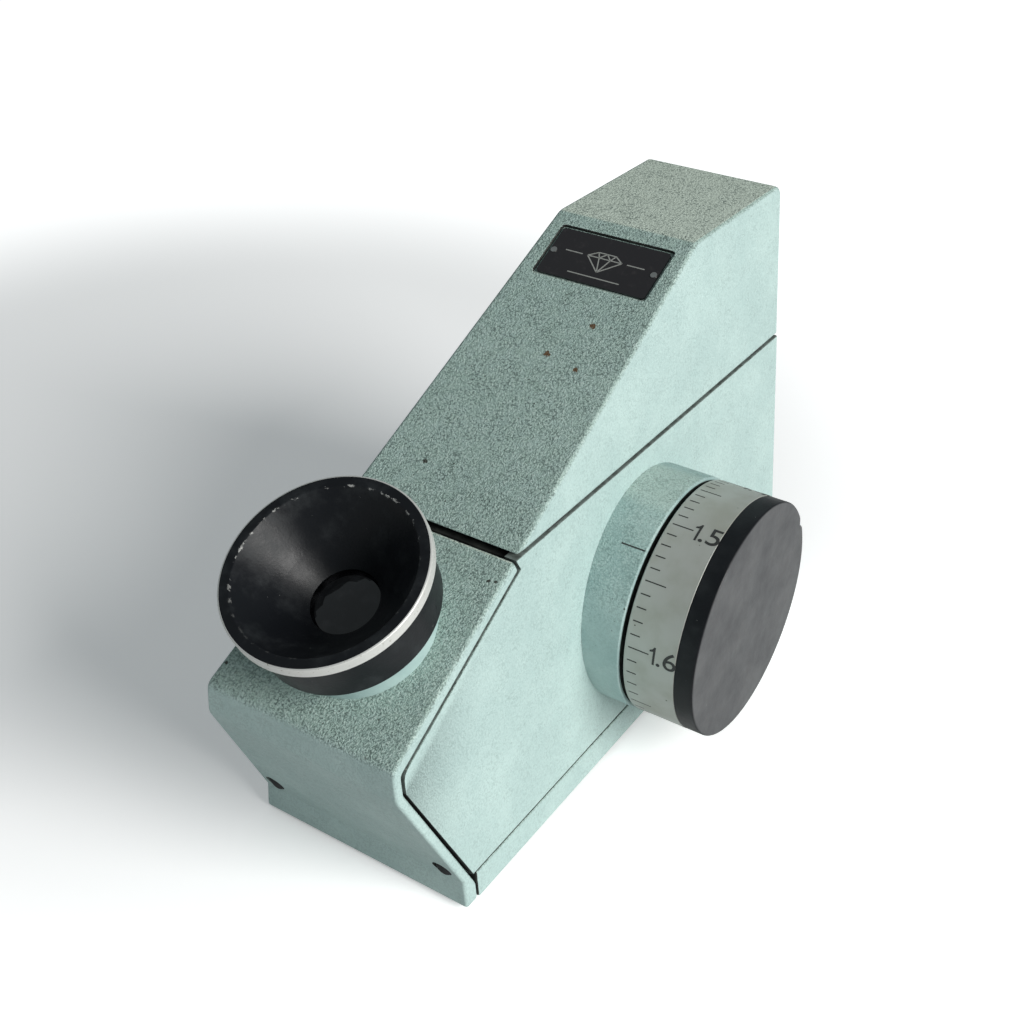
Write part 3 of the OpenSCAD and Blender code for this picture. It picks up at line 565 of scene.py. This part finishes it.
def softened(node, tree, materials, body, side, shortest, rim=0.25):
    """The CAD node's own shape with its outer edges rounded: side along the leaning sides, rim elsewhere.
    Edges shorter than shortest, in millimetres, stay as they are.
    Faces that look at another part of the case get the second material, or the third in a groove: both are painted
    shade, the second also matt black paint."""
    near = 0.04 * MM
    sharp = radians(24)
    widest = max(side, rim)
    bm = bmesh.new()
    bm.from_mesh(NODES[node].data)
    bmesh.ops.remove_doubles(bm, verts=bm.verts, dist=1e-6)
    bmesh.ops.dissolve_limit(bm, angle_limit=radians(0.6), verts=bm.verts, edges=bm.edges)
    weight = bm.edges.layers.float.new("bevel_weight_edge")

    def on_skin(face):
        points = [v.co for v in face.verts] + [face.calc_center_median()]
        return all(abs(skin_depth(p)) < near for p in points)

    for edge in bm.edges:
        if len(edge.link_faces) != 2 or edge.calc_face_angle(0) < sharp:
            continue
        if all(on_skin(face) for face in edge.link_faces):
            continue
        a, b = edge.verts[0].co, edge.verts[1].co
        if edge.calc_length() < shortest * MM:
            edge.smooth = False
        elif abs(skin_depth(a)) < near and abs(skin_depth(b)) < near:
            edge[weight] = side / widest
        elif on_outer_plane(a, b, near):
            edge[weight] = rim / widest
        else:
            edge.smooth = False
    # Painted shade: faces that look at another part within reach get the dark materials.
    for face in bm.faces:
        centre = face.calc_center_median()
        hit = tree.ray_cast(centre + face.normal * 0.02 * MM, face.normal, 0.15)[0]
        in_groove = skin_depth(centre) < 2.2 * MM
        face.material_index = 0 if hit is None or on_skin(face) else 2 if in_groove else 1
    made = piece(node + "_shell", bm, body, materials[0], (node,))
    for other in materials[1:]:
        made.data.materials.append(other)
    bevel = made.modifiers.new("rounded", "BEVEL")
    bevel.limit_method = "WEIGHT"
    bevel.width = widest * MM
    bevel.segments = 3
    bevel.use_clamp_overlap = False
    bevel.harden_normals = False
    weigh_normals(made)
    split = made.modifiers.new("even_triangles", "TRIANGULATE")
    split.min_vertices = 5
    split.keep_custom_normals = True
    return made


# ---------------------------------------------------------------- the case


SHELLS = {
    "front_cover": ("enamel_cover", "case", 0.7, 0),
    "lid_shell": ("enamel_lid", "lid", 0.8, 0),
    "base_plate": ("enamel_case", "case", 0.4, 3),
    "side_panel_right": ("enamel_case", "case", 0.3, 3),
    "side_panel_left": ("enamel_case", "case", 0.3, 3),
    "rear_panel": ("enamel_case", "case", 0.3, 3),
}


def make_case(look):
    tree = shell_tree()
    for node, (finish, body, side, shortest) in SHELLS.items():
        softened(node, tree, (look[finish], look["inside"], look["groove_shade"]), body, side, shortest)


# ---------------------------------------------------------------- the eyepiece


def make_eyepiece(look):
    place = on_eye_axis()
    rim_r, sleeve_r, skirt_r, rim_in = 19.05, 17.2, 14.8, 16.9
    top, rim_low, seat = 20, 17.6, 13.2
    cone_at_seat = 10.41
    cup = [
        (skirt_r, CUP_LOW_H, 0.3), (sleeve_r, CUP_LOW_H, 0.4), (sleeve_r, rim_low - 0.6, 0.2),
        (rim_r - 0.15, rim_low, 0.15), (rim_r - 0.15, top - 0.25, 0.0), (rim_r - 0.35, top, 0.1),
        (rim_in, top, 0.35), (cone_at_seat, seat, 0), (skirt_r, seat, 0.2),
    ]
    made = piece("eyecup_bell", lathe(cup, place), "eyepiece", look["cup"], ("eyecup",))
    weigh_normals(made)
    band_in = rim_r - 0.5
    band = [
        (band_in, rim_low + 0.05, 0), (rim_r, rim_low + 0.05, 0.15), (rim_r, top - 0.12, 0.25),
        (rim_r - 0.3, top - 0.02, 0.1), (band_in, top - 0.02, 0),
    ]
    made = piece("eyecup_band", lathe(band, place), "eyepiece", look["band"])
    weigh_normals(made)
    throat_r, throat_h, tube_in = 6.2, 8.8, 11
    cone = [(throat_r, throat_h, 0.2), (tube_in, throat_h, 0), (tube_in, seat, 0), (cone_at_seat, seat, 0)]
    bm = lathe(cone, place)
    made = piece("lens_retainer_cone", bm, "eyepiece", look["black"], ("lens_retainer",))
    weigh_normals(made)
    boss_in, boss_r, boss_top, boss_low = 12.06, 14.3, 8, -6
    boss = [
        (boss_in, boss_low, 0), (13, boss_low, 0.2), (13, 0, 0), (boss_r, 0, 0),
        (boss_r, boss_top, 0.8), (boss_in, boss_top, 0.2),
    ]
    bm = lathe(boss, place)
    made = piece("eyepiece_boss_ring", bm, "case", look["enamel_boss"], ("eyepiece_boss",))
    weigh_normals(made)


# ---------------------------------------------------------------- the dial


def leaning_end(r, h, angle):
    """Holds the barrel's inner end to the leaning side, where h is given as below zero."""
    if h > 0:
        return r, h
    z = DIAL_AXIS.z + r * sin(angle) * MM
    return r, half_width(z) / MM + 0.02


def make_barrel(look):
    floor, bore, hub, lip = 28, 22.5, 5, 0.7
    outline = [
        (hub, -1, 0), (BARREL_R, -1, 0), (BARREL_R, BARREL_END, 0.45), (BARREL_R - lip, BARREL_END, 0),
        (bore, BARREL_END, 0.25),
        (bore, floor, 0.2), (hub, floor, 0),
    ]
    bm = lathe(outline, on_dial_axis(), warp=leaning_end)
    # The bore inside the rim takes the matt black, which also paints shade in the gap round the drum.
    for face in bm.faces:
        centre = face.calc_center_median()
        radius = (centre.yz - DIAL_AXIS.yz).length
        face.material_index = 1 if radius < (BARREL_R - lip) * MM else 0
    made = piece("dial_barrel_ring", bm, "case", look["enamel_barrel"], ("dial_barrel",))
    made.data.materials.append(look["inside"])
    weigh_normals(made)


def make_drum(look):
    web_in, web_out, boss_end, wall_in, shoulder = 35, 37, 29.3, 21.5, 22.2
    inner_end = 28.8
    outline = [
        (3, boss_end, 0), (7, boss_end, 0.3), (7, web_in, 0), (19.5, web_in, 0), (19.5, inner_end, 0),
        (shoulder, inner_end, 0), (shoulder, DRUM_START, 0), (DRUM_R, DRUM_START, 0.35),
        (DRUM_R, DRUM_END, 0.1), (wall_in, DRUM_END, 0), (wall_in, web_out, 0), (3, web_out, 0),
    ]
    bm = lathe(outline, on_dial_axis())
    made = piece("dial_drum_body", bm, "dial", look["drum"], ("dial_drum",))
    weigh_normals(made)


def make_cap(look):
    spigot_in, spigot_out = 17, 21.4
    outline = [
        (0, CAP_END, 0), (CAP_R, CAP_END, 0.45), (CAP_R, DRUM_END, 0.15), (spigot_out, DRUM_END, 0),
        (spigot_out, DRUM_END - 3, 0), (spigot_in, DRUM_END - 3, 0), (spigot_in, DRUM_END - 0.6, 0),
        (0, DRUM_END - 0.6, 0),
    ]
    chip_at, chip_half, chip_depth = radians(152), radians(4), 0.7

    def chipped(r, h, angle):
        near = max(0.0, 1 - abs(angle - chip_at) / chip_half)
        bite = chip_depth * near * max(0.0, min(1.0, (h - DRUM_END - 2) / 2))
        return (r - bite, h) if r > CAP_R - 1 else (r, h)

    bm = lathe(outline, on_dial_axis(), closed=False, turns=256, warp=chipped)
    made = piece("dial_cap_disc", bm, "dial", look["cap"], ("dial_cap",))
    weigh_normals(made)


# The scale follows the law of a critical-angle refractometer with a prism of this index
PRISM_INDEX = 1.80
READING = 1.53
READING_ANGLE = 50.8
GEARING = 9.625
INK_PROUD = 0.03
INK_SUNK = 0.08


def scale_angle(index):
    """Angle of a reading on the drum in radians, from the front and up over the top."""
    turn = degrees(asin(index / PRISM_INDEX) - asin(READING / PRISM_INDEX)) * GEARING
    return radians(READING_ANGLE - turn)


def on_drum(x, angle, r):
    """A point at x along the axis and an angle round it, in metres."""
    return Vector((x * MM, DIAL_AXIS.y - r * cos(angle) * MM, DIAL_AXIS.z + r * sin(angle) * MM))


def curved_bar(bm, x0, x1, angle, width, r):
    """A printed line along X on a cylinder of radius r."""
    half = width / 2 / r
    corners = [(x0, angle - half), (x1, angle - half), (x1, angle + half), (x0, angle + half)]
    upper = [bm.verts.new(on_drum(x, a, r + INK_PROUD)) for x, a in corners]
    lower = [bm.verts.new(on_drum(x, a, r - INK_SUNK)) for x, a in corners]
    bm.faces.new(upper)
    bm.faces.new(lower[::-1])
    for k in range(4):
        n = (k + 1) % 4
        bm.faces.new((upper[k], lower[k], lower[n], upper[n]))


# A figure one with a flag, as points of a figure 1 high
FIGURE_ONE = [(0.2, 0), (0.32, 0), (0.32, 1), (0.23, 1), (0.14, 0.86), (0, 0.8), (0, 0.7), (0.2, 0.74)]
ONE_STEP = 0.42
WIDENED = 1.2


def text_mesh(tenths, height):
    """A flat bmesh of "1." and a tenths figure, height tall, from x = 0 and centred on y = 0."""
    curve = bpy.data.curves.new("figures", "FONT")
    curve.body = f".{tenths}"
    curve.offset = 0.004
    holder = bpy.data.objects.new("figures", curve)
    bpy.context.scene.collection.objects.link(holder)
    bpy.context.view_layer.update()
    graph = bpy.context.evaluated_depsgraph_get()
    bm = bmesh.new()
    bm.from_mesh(holder.evaluated_get(graph).to_mesh())
    bpy.data.objects.remove(holder)
    bpy.data.curves.remove(curve)
    low = [min(v.co[i] for v in bm.verts) for i in (0, 1)]
    high = [max(v.co[i] for v in bm.verts) for i in (0, 1)]
    scale = height / (high[1] - low[1])
    for v in bm.verts:
        x = (v.co.x - low[0]) * scale * WIDENED + ONE_STEP * height
        v.co = Vector((x, (v.co.y - (low[1] + high[1]) / 2) * scale, 0))
    bm.faces.new([bm.verts.new((x * height, (y - 0.5) * height, 0)) for x, y in FIGURE_ONE])
    return bm


def wrapped_figures(bm, tenths, x0, angle, height):
    """Adds figures to bm, wrapped round the drum with their tops towards a higher angle."""
    flat = text_mesh(tenths, height)
    slices = 8
    for k in range(1, slices):
        y = height * (k / slices - 0.5)
        geometry = flat.verts[:] + flat.edges[:] + flat.faces[:]
        bmesh.ops.bisect_plane(flat, geom=geometry, plane_co=(0, y, 0), plane_no=(0, 1, 0))
    flat.verts.index_update()
    rest = [v.co.copy() for v in flat.verts]
    for r, flip in ((DRUM_R + INK_PROUD, False), (DRUM_R - INK_SUNK, True)):
        made = [bm.verts.new(on_drum(x0 + p.x, angle + p.y / DRUM_R, r)) for p in rest]
        for face in flat.faces:
            ring = [made[v.index] for v in face.verts]
            bm.faces.new(ring[::-1] if flip else ring)
        if not flip:
            upper = made
    for edge in flat.edges:
        if len(edge.link_faces) == 1:
            a, b = (v.index for v in edge.verts)
            bm.faces.new((upper[a], upper[b], made[b], made[a]))
    flat.free()


def make_scale(look):
    tick_start, short_end, long_end, figures_start = DRUM_START + 0.9, 34.4, 36.8, 36.9
    tick_w, figure_h = 0.24, 3.9
    first, last = 140, 178
    bm = bmesh.new()
    for hundredth in range(first, last + 1):
        angle = scale_angle(hundredth / 100)
        end = long_end if hundredth % 5 == 0 else short_end
        curved_bar(bm, tick_start, end, angle, tick_w, DRUM_R)
        if hundredth % 10 == 0:
            wrapped_figures(bm, hundredth // 10 % 10, figures_start, angle, figure_h)
    bmesh.ops.recalc_face_normals(bm, faces=bm.faces)
    made = piece("dial_scale", bm, "dial", look["ink"])
    made.data.shade_flat()
    line_start, line_end, line_w = 24.8, BARREL_END - 0.3, 0.3
    line = bmesh.new()
    curved_bar(line, line_start, line_end, radians(READING_ANGLE), line_w, BARREL_R)
    made = piece("index_line", line, "case", look["ink"])
    made.data.shade_flat()


# ---------------------------------------------------------------- the name plate


def make_plate(look):
    """A plain black plate that bears a generic outline of a cut stone and three rules."""
    low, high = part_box("name_plate")
    centre = (low + high) / 2
    plate_t, line_w = 0.5, 0.26
    place = Matrix.Translation(centre) @ Matrix((X_AXIS, EYE_UP, EYE_OUT)).transposed().to_4x4()
    NODES["name_plate"].data.materials.clear()
    NODES["name_plate"].data.materials.append(look["plate"])
    crown, girdle, culet = 2.1, 0.75, -2.9
    table_half, girdle_half = 2.0, 4.0
    stone = [
        ((-table_half, crown), (table_half, crown)),
        ((table_half, crown), (girdle_half, girdle)),
        ((girdle_half, girdle), (0, culet)),
        ((0, culet), (-girdle_half, girdle)),
        ((-girdle_half, girdle), (-table_half, crown)),
        ((-girdle_half, girdle), (girdle_half, girdle)),
        ((-table_half, crown), (-1.3, girdle)),
        ((table_half, crown), (1.3, girdle)),
        ((-1.3, girdle), (0, crown)),
        ((1.3, girdle), (0, crown)),
        ((-1.3, girdle), (0, culet)),
        ((1.3, girdle), (0, culet)),
    ]
    rules = [((-9.2, girdle), (-5.2, girdle)), ((5.2, girdle), (9.2, girdle)), ((-6, -4.4), (6, -4.4))]
    bm = bmesh.new()
    for p, q in stone + rules:
        bar_on_plate(bm, place, Vector(p), Vector(q), line_w, plate_t / 2)
    bmesh.ops.recalc_face_normals(bm, faces=bm.faces)
    made = piece("plate_emblem", bm, "lid", look["lines"])
    made.data.shade_flat()


def bar_on_plate(bm, place, p, q, width, top):
    """A thin raised line from p to q in millimetres on the plate's face."""
    along = (q - p).normalized()
    across = Vector((-along.y, along.x)) * width / 2
    proud, sunk = 0.04, 0.1
    ring = [p - across, q - across, q + across, p + across]
    upper = [bm.verts.new(place @ Vector((c.x * MM, c.y * MM, (top + proud) * MM))) for c in ring]
    lower = [bm.verts.new(place @ Vector((c.x * MM, c.y * MM, (top - sunk) * MM))) for c in ring]
    bm.faces.new(upper)
    bm.faces.new(lower[::-1])
    for k in range(4):
        n = (k + 1) % 4
        bm.faces.new((upper[k], lower[k], lower[n], upper[n]))


# ---------------------------------------------------------------- materials on the CAD's own pieces

KEPT = {
    "steel": (
        "contact_plate deck_pillars deck_screws base_screws rear_screws plate_pins hinge_leaf_case "
        "hinge_leaf_lid hinge_pin hinge_screws_case hinge_screws_lid barrel_screws dial_shaft drum_screw "
        "cam_screw follower_pin lever_pivot return_spring"
    ),
    "dark_steel": (
        "front_screws window_frame prism_cradle bearing_bracket shaft_clip follower_lever lever_bracket "
        "shadow_blade mirror_bracket objective_holder"
    ),
    "black": "boss_nut eyepiece_tube lens_spacer tube_end_ring",
    "brass": "shaft_bush_outer shaft_bush_inner friction_washer index_cam",
    "rubber": "base_pad lid_buffers",
    "glass": "table_prism objective_lens field_lens",
    "lens": "eye_lens",
    "amber": "light_filter",
    "mirror": "fold_mirror",
    # The deck's matt black also paints shade in the gap between lid and cover.
    "inside": "stage_deck",
}


def dress_nodes(look):
    for finish, names in KEPT.items():
        for name in names.split():
            materials = NODES[name].data.materials
            materials.clear()
            materials.append(look[finish])


# ---------------------------------------------------------------- stage, lights, camera


def make_stage():
    """A broad pale floor: camera rays see it white and glowing, the glow dimmer round the middle of the object's
    shadow, which deepens that shadow as a painted shadow; the object sees a softer grey.
    """
    reach = 6
    bm = bmesh.new()
    ring = [(-reach, -reach), (reach, -reach), (reach, reach), (-reach, reach)]
    bm.faces.new([bm.verts.new((x, y, 0)) for x, y in ring])
    mesh = bpy.data.meshes.new("floor")
    bm.to_mesh(mesh)
    bm.free()
    floor = bpy.data.objects.new("floor", mesh)
    bpy.context.scene.collection.objects.link(floor)
    f = Finish("floor_glow_white", rough=0.9)
    # Painted light: for camera rays only, the floor is whiter and glows, and the glow dips round the shadow's
    # middle.
    seen = f.node("ShaderNodeLightPath").outputs["Is Camera Ray"]
    f.set("Base Color", f.mix(seen, (0.75, 0.75, 0.75), (1, 1, 1)))
    shadow_middle = (-0.13, 0.04, 0)
    outer = f.smooth(f.distance_to(shadow_middle), 0.12, 0.24, 0.18, 0.6)
    glow = f.math("MULTIPLY", seen, outer)
    f.set("Emission Color", (1, 1, 1))
    f.set("Emission Strength", glow)
    mesh.materials.append(f.material)


def area_light(name, direction, distance, size, power, color=(1, 1, 1)):
    """A round soft light aimed at the object from a direction."""
    light = bpy.data.lights.new(name, "AREA")
    light.shape = "DISK"
    light.size = size
    light.energy = power
    light.color = color
    holder = bpy.data.objects.new(name, light)
    bpy.context.scene.collection.objects.link(holder)
    aim = Vector((0, 0, 0.05))
    holder.location = aim + Vector(direction).normalized() * distance
    holder.rotation_euler = (aim - holder.location).to_track_quat("-Z", "Y").to_euler()


def make_lights():
    world = bpy.data.worlds.new("studio")
    world.use_nodes = True
    world.node_tree.nodes["Background"].inputs["Color"].default_value = (0.85, 0.96, 1, 1)
    world.node_tree.nodes["Background"].inputs["Strength"].default_value = 0.22
    bpy.context.scene.world = world
    high, forward = radians(26), radians(6)
    key_from = (cos(high) * cos(forward), -cos(high) * sin(forward), sin(high))
    area_light("key", key_from, distance=2.5, size=1.5, power=70.0, color=(1, 0.99, 0.97))


def make_camera():
    data = bpy.data.cameras.new("view")
    data.lens = 50.66
    data.sensor_width = 36
    camera = bpy.data.objects.new("view", data)
    bpy.context.scene.collection.objects.link(camera)
    place = (0.13418, -0.22014, 0.21186)
    azimuth, down, roll = radians(33.18), radians(32.9), radians(0.46)
    turn = Matrix.Rotation(azimuth, 4, "Z") @ Matrix.Rotation(pi / 2 - down, 4, "X")
    camera.matrix_world = Matrix.Translation(place) @ turn @ Matrix.Rotation(roll, 4, "Z")
    bpy.context.scene.camera = camera
    bpy.context.scene.view_settings.view_transform = "Standard"


def main():
    make_camera()
    look = make_finishes()
    make_case(look)
    make_eyepiece(look)
    make_barrel(look)
    make_drum(look)
    make_cap(look)
    make_scale(look)
    make_plate(look)
    dress_nodes(look)
    make_stage()
    make_lights()


main()
